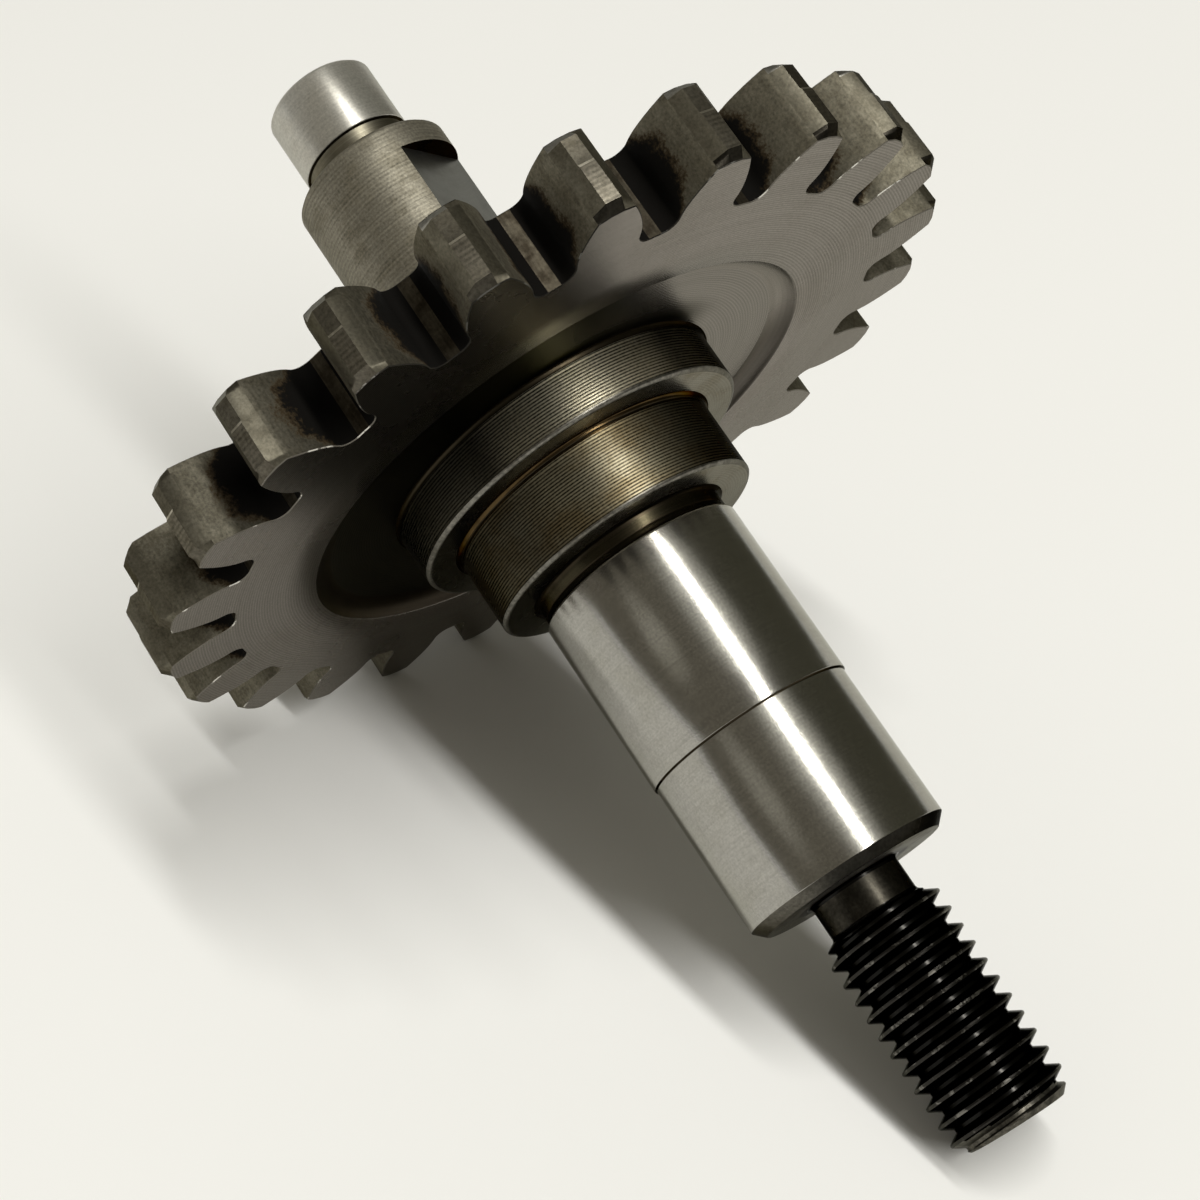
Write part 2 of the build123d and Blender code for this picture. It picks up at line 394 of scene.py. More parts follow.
def steel(name, light, dark, shine, stain=(0.3, 0.4, 0.7), marks=(5.0, 2.0, 0.1),
          grain=(6.0, 0.0, 0.08), grooves=(0.23, 0.0, 0.0), outward=1.0, soot_and_shade=None, painted_side_shade=(),
          foot=None, shade=None, glance=0.6, metal=1.0, uneven=0.0005, pebble=0.002):
    """A machined steel.

    light and dark: the bare colour, and the stained colour, which stands for painted shade on shaded
    sides and at a hub's foot.
    shine: the roughness of each.
    stain: the patches' fineness, and the noise where they start and are full.
    marks: their fineness, their reach and their strength.
    grain: its fineness, its share of streaks and its strength.
    grooves: their pitch and depth in mm, and the strength of the painted shade that darkens their
    valleys and of the painted highlight that lightens their crests.
    outward: how fast the grooves pass outwards beside along.
    soot: the radii where the burnt oil and painted shade in the tooth gaps are full and gone.
    oiled: directions of painted shade in degrees, each with the places in mm where it starts and is
    full, and its share. They take the place of the stain.
    foot: the radii where painted shade at a hub's foot is full and gone, the middle of it in
    degrees, and the cosines off that where it is gone and full.
    shade: a direction in degrees, the cosines off it where the painted shade is darkest and gone,
    and how dark it gets.
    glance: how much the steel still reflects at a low angle.
    metal: its share of bare metal.
    uneven and pebble: the heights in mm that the marks and the grain stand.
    """
    material = bpy.data.materials.new(name)
    material.use_nodes = True
    tree = material.node_tree
    shader = tree.nodes["Principled BSDF"]
    shader.inputs["Metallic"].default_value = metal
    shader.inputs["Specular Tint"].default_value = (glance, glance, glance * 0.94, 1.0)
    rings = use(tree, MARKS, Fineness=marks[0], Reach=marks[1])["Marks"]
    speckle = use(tree, GRAIN, Speckle_Size=grain[0], Streak_Share=grain[1])["Grain"]
    cut = use(tree, GROOVES, Pitch=grooves[0], Outward=outward)["Grooves"]
    if painted_side_shade:
        mask = 0.0
    else:
        mask = use(tree, STAIN, Size=stain[0], Start=stain[1], End=stain[2])["Mask"]
    # Painted shade darkens the colour on the given sides, in place of the stain
    for degrees, shade_starts, full, share in painted_side_shade:
        side_shade = vector_calc(tree, "DOT_PRODUCT", use(tree, POSITION)["Place"], around(degrees))
        side_shade = calc(tree, "MULTIPLY", spread(tree, side_shade, shade_starts, full), share)
        mask = calc(tree, "MAXIMUM", mask, side_shade)
    # Painted shade darkens the colour round a hub's foot, most at the given angle
    if foot:
        full, gone, degrees, start, most = foot
        place = use(tree, POSITION)
        near = calc(tree, "SUBTRACT", 1.0, spread(tree, place["Out"], full, gone))
        off = vector_calc(tree, "DOT_PRODUCT", place["Outwards"], around(degrees))
        near = calc(tree, "MULTIPLY", near, spread(tree, off, start, most))
        mask = calc(tree, "MAXIMUM", mask, near)
    level = 1.0
    for noisy, strength in ((rings, marks[2]), (speckle, grain[2])):
        noisy = calc(tree, "SUBTRACT", noisy, 0.5)
        level = calc(tree, "MULTIPLY_ADD", noisy, strength * NOISE_GAIN, level)
    # The groove wave also paints shade into the valleys and highlight onto the crests
    level = calc(tree, "MAXIMUM", calc(tree, "MULTIPLY_ADD", cut, grooves[2], level), 0.05)
    # Painted shade darkens the steel by its direction round the shaft
    if shade:
        degrees, darkest, unshaded, strength = shade
        off = vector_calc(tree, "DOT_PRODUCT", use(tree, POSITION)["Outwards"], around(degrees))
        lit = calc(tree, "MULTIPLY_ADD", spread(tree, off, unshaded, darkest), -strength, 1.0)
        level = calc(tree, "MULTIPLY", level, lit)
    scaled = add(tree, "ShaderNodeVectorMath", operation="SCALE")
    feed(tree, scaled.inputs[0], mix_colour(tree, mask, light, dark))
    feed(tree, scaled.inputs["Scale"], level)
    colour = scaled.outputs[0]
    rough = calc(tree, "MULTIPLY_ADD", mask, shine[1] - shine[0], shine[0])
    # Burnt oil and painted shade fill the tooth gaps, brown and then near black, and dull the metal
    if soot_and_shade:
        soot_and_shade_mask = use(tree, SOOT_AND_SHADE, Full_Below=soot_and_shade[0], Gone_Above=soot_and_shade[1])["Mask"]
        colour = mix_colour(tree, spread(tree, soot_and_shade_mask, 0.0, 0.55), colour, SOOT_AND_SHADE_BROWN)
        colour = mix_colour(tree, spread(tree, soot_and_shade_mask, 0.35, 0.9), colour, SOOT_AND_SHADE_BLACK)
        rough = calc(tree, "MULTIPLY_ADD", soot_and_shade_mask, 0.25, rough)
        feed(tree, shader.inputs["Metallic"], calc(tree, "SUBTRACT", 1.0, soot_and_shade_mask))
        shader.inputs["Specular IOR Level"].default_value = 0.2
    feed(tree, shader.inputs["Base Color"], colour)
    feed(tree, shader.inputs["Roughness"], rough)
    height = calc(tree, "MULTIPLY_ADD", cut, grooves[1], calc(tree, "MULTIPLY", rings, uneven))
    height = calc(tree, "MULTIPLY_ADD", speckle, pebble, height)
    bump = add(tree, "ShaderNodeBump")
    bump.inputs["Strength"].default_value = 1.0
    bump.inputs["Distance"].default_value = MM
    feed(tree, bump.inputs["Height"], height)
    feed(tree, shader.inputs["Normal"], bump.outputs["Normal"])
    return material


# Finishes with a shade direction hold painted shade round the shaft
FINISHES = {
    "ground": steel("Ground journal steel", (0.36, 0.35, 0.322), (0.335, 0.325, 0.292), (0.165, 0.205),
                    marks=(7.0, 0.8, 0.12), grain=(5.0, 0.0, 0.22), glance=0.75, pebble=0.003),
    "pilot": steel("Small journal steel", (0.51, 0.495, 0.45), (0.47, 0.45, 0.40), (0.30, 0.35),
                   marks=(7.0, 0.8, 0.16), grain=(5.0, 0.0, 0.25), glance=0.7, metal=0.84),
    "collar": steel("Collar steel", (0.23, 0.213, 0.170), (0.18, 0.163, 0.123), (0.50, 0.60),
                    stain=(0.5, 0.4, 0.7), marks=(7.0, 1.0, 0.3), grain=(5.0, 0.0, 0.45),
                    grooves=(0.36, 0.006, 0.22), glance=0.6, metal=0.88, uneven=0.006),
    "bevel": steel("Journal end chamfer", (0.115, 0.108, 0.092), (0.075, 0.069, 0.057), (0.34, 0.42),
                   grain=(4.0, 0.0, 0.5), shade=(73, 0.60, 0.10, 0.80), glance=0.25),
    "flat": steel("Milled flat", (0.38, 0.38, 0.365), (0.32, 0.315, 0.30), (0.30, 0.36)),
    "turned": steel("Turned hub steel", (0.43, 0.40, 0.31), (0.34, 0.312, 0.23), (0.31, 0.36),
                    stain=(0.25, 0.35, 0.7), grain=(5.0, 0.0, 0.5), grooves=(RIDGE_PITCH, 0.0, 1.8),
                    shade=(-70, -0.80, -0.95, 0.80), glance=0.2),
    "bronzed": steel("Heat tinted hub steel", (0.178, 0.16, 0.112), (0.115, 0.090, 0.050), (0.37, 0.43),
                     stain=(0.2, 0.38, 0.66), grain=(5.0, 0.0, 0.5), grooves=(RIDGE_PITCH, 0.0, 1.8),
                     shade=(-66, -0.72, -0.97, 0.68), glance=0.2),
    "hub face": steel("Hub face steel", (0.27, 0.255, 0.218), (0.21, 0.19, 0.152), (0.24, 0.30),
                      grooves=(0.23, 0.002, 0.25), shade=(195, 0.95, 0.35, 0.74), glance=0.42),
    "gold": steel("Gold tinted root steel", (0.075, 0.050, 0.023), (0.04, 0.027, 0.013), (0.18, 0.26),
                  glance=0.25),
    "rim": steel("Turned rim steel", (0.165, 0.157, 0.137), (0.12, 0.112, 0.094), (0.30, 0.36),
                 grain=(3.0, 0.0, 0.7), glance=0.45),
    "face": steel("Faced gear steel", (0.268, 0.246, 0.226), (0.235, 0.214, 0.193), (0.24, 0.30),
                  stain=(0.08, 0.4, 0.7), marks=(3.5, 1.2, 0.12), grain=(4.0, 0.0, 0.25),
                  grooves=(0.23, 0.004, 0.42), shade=(135, 0.975, 0.84, 0.80), glance=0.5),
    # Painted lighter than the faced steel in front, for the dim light behind the gear
    "back face": steel("Faced steel behind the gear, painted lighter", (0.30, 0.278, 0.256), (0.25, 0.228, 0.206),
                       (0.24, 0.30), stain=(0.08, 0.4, 0.7), marks=(3.5, 1.2, 0.16),
                       grain=(4.0, 0.0, 0.25), grooves=(0.23, 0.004, 0.42), glance=0.5),
    # The recess floor and wall are painted dark on some sides and round the hub's foot, as painted
    # shade
    "recess": steel("Recess floor steel with painted shade", (0.245, 0.226, 0.206), (0.030, 0.0275, 0.022), (0.24, 0.30),
                    marks=(3.5, 1.2, 0.12), grooves=(0.23, 0.004, 0.4), glance=0.5,
                    painted_side_shade=((25, 9.0, -3.0, 1.0),), foot=(14.8, 17.4, 105, 0.5, 0.8),
                    shade=(127, 0.97, 0.72, 0.82)),
    "wall": steel("Recess wall steel with painted shade", (0.275, 0.253, 0.228), (0.034, 0.028, 0.021), (0.26, 0.34),
                  marks=(3.5, 1.2, 0.16), glance=0.45,
                  painted_side_shade=((25, 9.0, -3.0, 1.0), (-15, 14.5, 19.5, 0.66))),
    "root": steel("Tooth root steel", (0.060, 0.052, 0.038), (0.032, 0.026, 0.018), (0.48, 0.56),
                  stain=(0.9, 0.36, 0.7), grain=(4.0, 0.5, 0.8), glance=0.3),
    "flank": steel("Cut flank steel", (0.178, 0.164, 0.126), (0.130, 0.117, 0.086), (0.58, 0.66),
                   stain=(0.8, 0.32, 0.74), grain=(4.5, 0.3, 0.7), soot_and_shade=(31.3, 33.4),
                   shade=(155, 0.98, 0.85, 0.42), glance=0.35),
    "tip": steel("Turned tip steel", (0.140, 0.127, 0.101), (0.108, 0.097, 0.074), (0.40, 0.48),
                 stain=(0.6, 0.4, 0.7), marks=(4.0, 1.0, 0.3), grain=(4.5, 0.0, 0.5),
                 grooves=(0.37, 0.003, 0.32), outward=0.0, glance=0.35),
    "corner": steel("Tip corner steel", (0.150, 0.138, 0.106), (0.116, 0.105, 0.078), (0.46, 0.54),
                    stain=(0.7, 0.35, 0.72), grain=(4.5, 0.2, 0.5), shade=(155, 0.98, 0.85, 0.3),
                    glance=0.35),
    # The far tip corners are painted light, as a painted reflection
    "far corner": steel("Far tip corner steel, painted light", (0.30, 0.292, 0.262), (0.24, 0.23, 0.20), (0.32, 0.40),
                        stain=(0.7, 0.35, 0.72), grain=(4.5, 0.2, 0.4), glance=0.45),
    "first pass": steel("Tip steel of the first cut", (0.112, 0.102, 0.080), (0.085, 0.076, 0.057),
                        (0.44, 0.52), stain=(0.6, 0.4, 0.7), grain=(4.5, 0.0, 0.5), glance=0.3),
    # The step across the tips is painted bright, as a painted highlight
    "tip step": steel("Step across a tip, painted highlight", (0.42, 0.39, 0.32), (0.26, 0.24, 0.19), (0.34, 0.42),
                      stain=(0.8, 0.4, 0.6)),
    # The cut edges' bright patches are worn bare metal and painted glints
    "edge": steel("Worn cut edge with painted glints", (0.15, 0.138, 0.118), (0.62, 0.60, 0.55), (0.42, 0.24),
                  stain=(0.45, 0.56, 0.62), shade=(114, 0.96, 0.84, 0.85)),
    "chamfer": steel("Turned tip chamfer", (0.105, 0.095, 0.076), (0.080, 0.071, 0.055), (0.36, 0.44),
                     grain=(4.5, 0.0, 0.5), shade=(80, 0.92, 0.55, 0.76), glance=0.35),
    # The dark undercut and undercut floor steels are painted shade in creases and undercuts
    "groove": steel("Undercut steel in painted shade", (0.035, 0.028, 0.018), (0.02, 0.016, 0.01), (0.28, 0.36),
                    glance=0.3),
    "far groove": steel("Far undercut steel", (0.17, 0.156, 0.118), (0.12, 0.108, 0.078), (0.36, 0.44),
                        marks=(9.0, 0.6, 0.3), glance=0.4),
    "olive": steel("Undercut floor steel in painted shade", (0.036, 0.031, 0.019), (0.022, 0.018, 0.011), (0.24, 0.32),
                   marks=(9.0, 0.6, 0.5), stain=(0.3, 0.35, 0.65), glance=0.3),
    "thread": steel("Blackened thread", (0.015, 0.0145, 0.0135), (0.007, 0.0067, 0.006), (0.15, 0.24),
                    glance=0.15),
    "neck": steel("Blackened neck", (0.034, 0.031, 0.025), (0.018, 0.0165, 0.013), (0.30, 0.38),
                  grain=(3.5, 0.0, 0.6), glance=0.25),
    "crest": steel("Rubbed thread crest", (0.032, 0.030, 0.027), (0.17, 0.162, 0.146), (0.26, 0.30),
                   stain=(0.9, 0.52, 0.62)),
    "thread end": steel("Rubbed thread end", (0.11, 0.103, 0.086), (0.045, 0.042, 0.035), (0.34, 0.44),
                        stain=(1.1, 0.42, 0.66), grain=(3.5, 0.0, 0.7)),
    "end": steel("Journal end face", (0.21, 0.20, 0.175), (0.12, 0.113, 0.095), (0.34, 0.46),
                 stain=(1.2, 0.45, 0.75), grain=(4.0, 0.0, 0.8), glance=0.42),
}
FINISH_NUMBER = {name: number for number, name in enumerate(FINISHES)}


# The turned body


def ridges(start, end, radius):
    """A turned surface as (place, radius), scalloped by the tool's nose with a crest at each pitch."""
    first = ceil((start + radius) / RIDGE_PITCH - RIDGE_CREST) + RIDGE_CREST
    last = floor((end + radius) / RIDGE_PITCH - RIDGE_CREST) + RIDGE_CREST
    points = [(start, radius)]
    for i in range(round(last - first) * RIDGE_STEPS + 1):
        t = (i % RIDGE_STEPS) / RIDGE_STEPS
        place = (first + i / RIDGE_STEPS) * RIDGE_PITCH - radius
        points.append((place, radius - RIDGE_DEPTH * 4 * t * (1 - t)))
    return points


def body_rows():
    """The shaft's outline from its far end to its thread: (place, radius, finish after it).

    Milled rows wear the collar's finish, and the flat's where it cuts them. The wall is the flat's
    own end wall.
    """
    groups = [
        ("end", [(-34.0, 0.0), (-34.3, 0.62), (-35.38, 0.62), (-36.86, 1.47), (-36.9, 1.53)]),
        ("pilot", [(-36.9, 4.36), (-36.87, 4.42), (-36.58, 4.72), (-36.50, PILOT_RADIUS),
                   (-30.72, PILOT_RADIUS)]),
        ("groove", [(-30.66, 4.70)]),
        ("far groove", [(-30.55, 4.48), (-30.35, 4.40), (-28.9, 4.40)]),
        ("groove", [(-28.6, 4.55)]),
        ("end", [(-28.5, 4.85)]),
        ("collar", [(-28.5, 6.42), (-28.46, 6.5), (-28.2, 6.76), (-28.1, COLLAR_RADIUS)]),
        ("wall", [(FLAT_START, COLLAR_RADIUS)]),
        ("milled", [(FLAT_START, COLLAR_RADIUS), (FLAT_START + 0.25, COLLAR_RADIUS),
                    (-16.0, COLLAR_RADIUS), (-7.05, COLLAR_RADIUS), (-6.85, 6.87), (-6.66, 7.06),
                    (-6.58, 7.3), (-3.0, 7.3)]),
        # The dark groove finish, here and below, is painted shade in the creases at the steps and in
        # the undercuts
        ("groove", [(-3.0, 14.4), (-0.99, 14.4), (-0.93, 14.25), (-0.80, 14.17)]),
        ("turned", ridges(-0.6, 3.06, HUB_RADIUS)),
        ("rim", [(3.10, HUB_RADIUS), (3.2, 14.12), (3.30, 14.03), (3.37, 13.90)]),
        ("hub face", [(3.4, 13.78)]),
        ("gold", [(3.4, 11.62), (3.43, 11.48), (3.5, 11.38), (3.62, 11.33)]),
        ("groove", [(3.68, 11.32), (3.74, SECOND_HUB_RADIUS)]),
        ("gold", [(3.8, 11.27)]),
        ("bronzed", ridges(3.95, 9.56, SECOND_HUB_RADIUS)),
        ("rim", [(9.62, SECOND_HUB_RADIUS), (9.72, 11.22), (9.82, 11.13), (9.88, 11.02)]),
        ("hub face", [(9.9, 10.92)]),
        ("groove", [(9.9, 8.6), (9.93, 8.42), (10.05, 8.24)]),
        ("olive", [(10.25, 8.16)]),
        ("groove", [(10.95, 8.16), (11.05, 8.10)]),
        ("olive", [(11.15, 8.16)]),
        ("groove", [(11.4, 8.17), (11.5, 8.22)]),
        ("ground", [(11.62, 8.36), (11.78, 8.48), (11.85, JOURNAL_RADIUS), (19.0, JOURNAL_RADIUS),
                    (26.66, JOURNAL_RADIUS)]),
        ("groove", [(26.70, 8.48), (26.80, 8.36)]),
        ("ground", [(26.86, END_JOURNAL_RADIUS), (33.0, END_JOURNAL_RADIUS),
                    (39.44, END_JOURNAL_RADIUS)]),
        ("bevel", [(39.5, 8.34), (39.54, 8.31), (40.31, 7.54)]),
        ("end", [(40.35, 7.48)]),
        ("groove", [(40.35, 4.75)]),
        ("thread", [(40.35, 4.0), (40.37, 3.85), (40.5, 3.68)]),
        ("neck", [(40.7, NECK_RADIUS)]),
        ("thread", [(43.05, NECK_RADIUS), (43.25, 3.70), (43.45, THREAD_CORE), (43.6, THREAD_CORE)]),
        ("thread end", [(60.7, THREAD_CORE), (60.845, 4.075), (60.98, 3.94), (61.0, 3.9),
                        (61.0, 1.53)]),
        ("thread", [(60.96, 1.47), (59.5, 0.62), (58.4, 0.62), (58.1, 0.0)]),
    ]
    return [(place, radius, finish) for finish, points in groups for place, radius in points]


def body_mesh():
    """The whole turned body, with the milled flat, as one closed mesh."""
    rows = body_rows()
    half = acos(FLAT_HEIGHT / COLLAR_RADIUS)
    straight_down = -pi / 2
    middle = straight_down + FLAT_ANGLE
    angles = [middle + half + (2 * pi - 2 * half) * i / BODY_STEPS for i in range(BODY_STEPS + 1)]
    angles += [middle - half + 2 * half * i / FLAT_STEPS for i in range(1, FLAT_STEPS)]
    vertices, faces, finishes = [], [], []
    rings = []
    for place, radius, finish in rows:
        if radius == 0.0:
            rings.append([len(vertices)])
            vertices.append((place * MM, 0, 0))
            continue
        ring = []
        for angle in angles:
            reach = radius
            facing = cos(angle - middle)
            if finish == "milled" and facing > 0:
                reach = min(radius, FLAT_HEIGHT / facing)
            ring.append(len(vertices))
            vertices.append((place * MM, reach * cos(angle) * MM, reach * sin(angle) * MM))
        rings.append(ring)
    count = len(angles)
    for row, (before, after) in enumerate(zip(rings, rings[1:])):
        finish = rows[row][2]
        for j in range(count):
            k = (j + 1) % count
            a, b = before[j % len(before)], before[k % len(before)]
            c, d = after[k % len(after)], after[j % len(after)]
            faces.append([v for n, v in enumerate((a, b, c, d)) if v not in (a, b, c, d)[:n]])
            if finish == "milled":
                finishes.append("flat" if j >= BODY_STEPS else "collar")
            elif finish == "wall":
                finishes.append("groove")
            else:
                finishes.append(finish)
    return finished_mesh("Shaft body", vertices, faces, finishes)


def finished_mesh(name, vertices, faces, finishes):
    """A closed mesh in the row's frame, whose faces wear the finishes named for them."""
    mesh = bpy.data.meshes.new(name)
    mesh.from_pydata(vertices, [], faces)
    used = sorted(set(finishes), key=lambda finish: FINISH_NUMBER[finish])
    for finish in used:
        mesh.materials.append(FINISHES[finish])
    mesh.polygons.foreach_set("material_index", [used.index(finish) for finish in finishes])
    close_mesh(mesh)
    mesh.transform(shaft_frame())
    mesh.update()
    return mesh


# The gear


def involute(angle):
    """The involute function of a pressure angle."""
    return tan(angle) - angle


def half_tooth(radius):
    """Half the angle that a tooth fills at a radius on its flank."""
    at_pitch = pi / (2 * TEETH) + involute(PRESSURE)
    return at_pitch - involute(acos(min(1.0, BASE_RADIUS / radius)))


def tooth_side():
    """One side of a tooth, from mid root land to mid tip: (radius, half angle, finish)."""
    foot = half_tooth(BASE_RADIUS)
    swing = asin(ROOT_FILLET / (ROOT_RADIUS + ROOT_FILLET))
    centre = (ROOT_RADIUS + ROOT_FILLET) * Vector((cos(foot + swing), sin(foot + swing)))
    root_middle = pi / TEETH
    points = [(ROOT_RADIUS, root_middle + (foot + swing - root_middle) * i / LAND_STEPS, "root")
              for i in range(LAND_STEPS)]
    turn = pi / 2 - swing
    for i in range(FILLET_STEPS + 1):
        angle = foot + swing + pi + turn * i / FILLET_STEPS
        spot = centre + ROOT_FILLET * Vector((cos(angle), sin(angle)))
        points.append((spot.length, Vector((1, 0)).angle(spot), "flank"))
    top = TIP_RADIUS - TIP_CORNER_DROP
    for i in range(FLANK_STEPS):
        radius = BASE_RADIUS + (top - BASE_RADIUS) * i / FLANK_STEPS
        points.append((radius, half_tooth(radius), "flank"))
    points.append((top, half_tooth(top), "corner"))
    land = half_tooth(TIP_RADIUS) - TIP_CORNER_CUT / TIP_RADIUS
    points += [(TIP_RADIUS, land * (1 - i / LAND_STEPS), "tip") for i in range(LAND_STEPS)]
    return points


def tooth_columns():
    """One tooth's outline, with half a root land at each side: (radius, angle, finish)."""
    side = tooth_side()
    columns = [(r, -a, finish) for r, a, finish in side]
    columns.append((TIP_RADIUS, 0.0, "tip"))
    back = side[::-1]
    for i, (r, a, _) in enumerate(back):
        finish = back[i + 1][2] if i + 1 < len(back) else "root"
        columns.append((r, a, finish))
    return columns


def recess_rows():
    """The thread-side face from the bore out to the foot of the teeth: (place, radius, finish)."""
    run = sqrt(RECESS_NOSE ** 2 - (RECESS_NOSE - RECESS_DEPTH) ** 2)
    sweep = acos(1 - RECESS_DEPTH / RECESS_NOSE)
    rows = [(-RECESS_DEPTH, radius, "recess") for radius in (DISC_BORE, 13.5, 17.0)]
    for i in range(NOSE_STEPS + 1):
        a = sweep * i / NOSE_STEPS
        rows.append((-RECESS_DEPTH + RECESS_NOSE * (1 - cos(a)),
                     RECESS_RADIUS - run + RECESS_NOSE * sin(a), "wall"))
    # The recess's rim is rounded a little
    last = rows.pop()
    rows.append((last[0] - 0.04, last[1] - 0.05, "face"))
    rows += [(0.0, radius, "face") for radius in (RECESS_RADIUS + 0.04, 25.0, FACE_FOOT)]
    return rows


def inset(columns, amount, limit):
    """The outline moved inwards by amount, and kept inside a limiting radius."""
    pitch = 2 * pi / TEETH
    outline = [(r, a) for r, a, _ in columns]
    before = (outline[-2][0], outline[-2][1] - pitch)
    after = (outline[1][0], outline[1][1] + pitch)
    line = [Vector((r * cos(a), r * sin(a))) for r, a in [before, *outline, after]]
    moved = []
    for i in range(1, len(line) - 1):
        along = (line[i + 1] - line[i - 1]).normalized()
        inward = Vector((-along.y, along.x))
        spot = line[i] + inward * amount
        radius = min(spot.length, limit)
        moved.append((radius, Vector((1, 0)).angle_signed(spot) * -1))
    return moved


def gear_sector():
    """One tooth's share of the gear, open at its two sides, around the angle 0."""
    columns = tooth_columns()
    width = len(columns)
    rows = []

    def ring(place, radius, finish):
        """A row at one radius, with one finish after it."""
        rows.append(([(place, radius, a) for _, a, _ in columns], [finish] * width))

    def outline(place, limit, renamed):
        """A row along the teeth, kept inside a radius, with some of their finishes renamed."""
        rows.append(([(place, min(r, limit), a) for r, a, _ in columns],
                     [renamed(r, finish) for r, _, finish in columns]))

    for place, radius, finish in recess_rows():
        ring(place, radius, finish)
    rims = TIP_RADIUS - TIP_CHAMFER
    burr = inset(columns, EDGE_BURR, rims)
    rows.append(([(0.0, r, a) for r, a in burr], ["edge"] * width))
    depths = [TIP_CHAMFER * i / CHAMFER_STEPS for i in range(1, CHAMFER_STEPS + 1)]
    for depth in [EDGE_BURR] + depths:
        reach = rims + depth
        outline(-depth, reach, lambda r, finish: "chamfer" if r > reach + SAME_RADIUS else finish)
    rear = TIP_RADIUS - TIP_STEP
    outline(-TIP_STEP_PLACE, TIP_RADIUS, lambda r, finish: "tip step" if finish == "tip" else finish)
    outline(-TIP_STEP_PLACE - TIP_STEP_RUN, rear,
            lambda r, finish: "first pass" if finish == "tip" else finish)
    for depth in depths[-2::-1]:
        reach = rims + depth
        outline(-GEAR_WIDTH + depth, min(reach, rear),
                lambda r, finish: "far corner" if r > reach - SAME_RADIUS else finish)
    outline(-GEAR_WIDTH + EDGE_BURR, min(rims + EDGE_BURR, rear), lambda r, finish: "edge")
    rows.append(([(-GEAR_WIDTH, r, a) for r, a in burr], ["back face"] * width))
    for radius in (FACE_FOOT, 20.0, 13.0, DISC_BORE):
        ring(-GEAR_WIDTH, radius, "back face")
    ring(-RECESS_DEPTH, DISC_BORE, "back face")

    vertices, faces, finishes = [], [], []
    for line, _ in rows:
        vertices += [(x * MM, r * cos(a) * MM, r * sin(a) * MM) for x, r, a in line]
    for i in range(len(rows) - 1):
        for j in range(width - 1):
            a = i * width + j
            faces.append((a, a + 1, a + width + 1, a + width))
            finishes.append(rows[i][1][j])
    mesh = bpy.data.meshes.new("Tooth sector")
    mesh.from_pydata(vertices, [], faces)
    number = mesh.attributes.new("finish", "INT", "FACE")
    number.data.foreach_set("value", [FINISH_NUMBER[finish] for finish in finishes])
    return mesh


def painted(tree, shape, finish, where=None):
    """A shape with a finish on all of its faces, or on those where a field is true."""
    node = tree.nodes.new("GeometryNodeSetMaterial")
    node.inputs["Material"].default_value = FINISHES[finish]
    feed(tree, node.inputs["Geometry"], shape)
    if where:
        feed(tree, node.inputs["Selection"], where)
    return node.outputs[0]


def gear_tree(finishes):
    """Geometry Nodes that set one tooth's sector round the axis and weld the ring together."""
    tree, given, out = new_tree(
        "GeometryNodeTree", "Teeth Round Axis",
        [("Sector", "Geometry"), ("Tooth Count", "Int"), ("First Angle", "Float"),
         ("Weld Distance", "Float")],
        [("Ring", "Geometry")])
    single = tree.nodes.new("GeometryNodeGeometryToInstance")
    feed(tree, single.inputs[0], given["Sector"])
    many = add(tree, "GeometryNodeDuplicateElements", domain="INSTANCE")
    feed(tree, many.inputs["Geometry"], single.outputs[0])
    feed(tree, many.inputs["Amount"], given["Tooth Count"])
    step = calc(tree, "DIVIDE", 2 * pi, given["Tooth Count"])
    angle = calc(tree, "MULTIPLY_ADD", many.outputs["Duplicate Index"], step, given["First Angle"])
    turn = tree.nodes.new("ShaderNodeCombineXYZ")
    feed(tree, turn.inputs["X"], angle)
    spin = tree.nodes.new("GeometryNodeRotateInstances")
    spin.inputs["Local Space"].default_value = False
    feed(tree, spin.inputs["Instances"], many.outputs["Geometry"])
    feed(tree, spin.inputs["Rotation"], turn.outputs[0])
    real = tree.nodes.new("GeometryNodeRealizeInstances")
    feed(tree, real.inputs[0], spin.outputs[0])
    weld = tree.nodes.new("GeometryNodeMergeByDistance")
    feed(tree, weld.inputs["Geometry"], real.outputs[0])
    feed(tree, weld.inputs["Distance"], given["Weld Distance"])
    stored = add(tree, "GeometryNodeInputNamedAttribute", data_type="INT")
    stored.inputs["Name"].default_value = "finish"
    shape = weld.outputs[0]
    for finish in finishes:
        same = add(tree, "FunctionNodeCompare", data_type="INT", operation="EQUAL")
        feed(tree, same.inputs[2], stored.outputs["Attribute"])
        same.inputs[3].default_value = FINISH_NUMBER[finish]
        shape = painted(tree, shape, finish, same.outputs["Result"])
    feed(tree, out["Ring"], shape)
    return tree


def evaluated(name, source, tree, values):
    """Runs a node tree on a mesh and returns the plain mesh that comes out."""
    maker = bpy.data.objects.new(name + " maker", source)
    bpy.context.scene.collection.objects.link(maker)
    modifier = maker.modifiers.new(name, "NODES")
    modifier.node_group = tree
    for item in tree.interface.items_tree:
        if item.item_type == "SOCKET" and item.in_out == "INPUT" and item.name in values:
            modifier[item.identifier] = values[item.name]
    depsgraph = bpy.context.evaluated_depsgraph_get()
    mesh = bpy.data.meshes.new_from_object(maker.evaluated_get(depsgraph))
    maker.modifiers.remove(modifier)
    bpy.data.objects.remove(maker)
    mesh.name = name
    return mesh


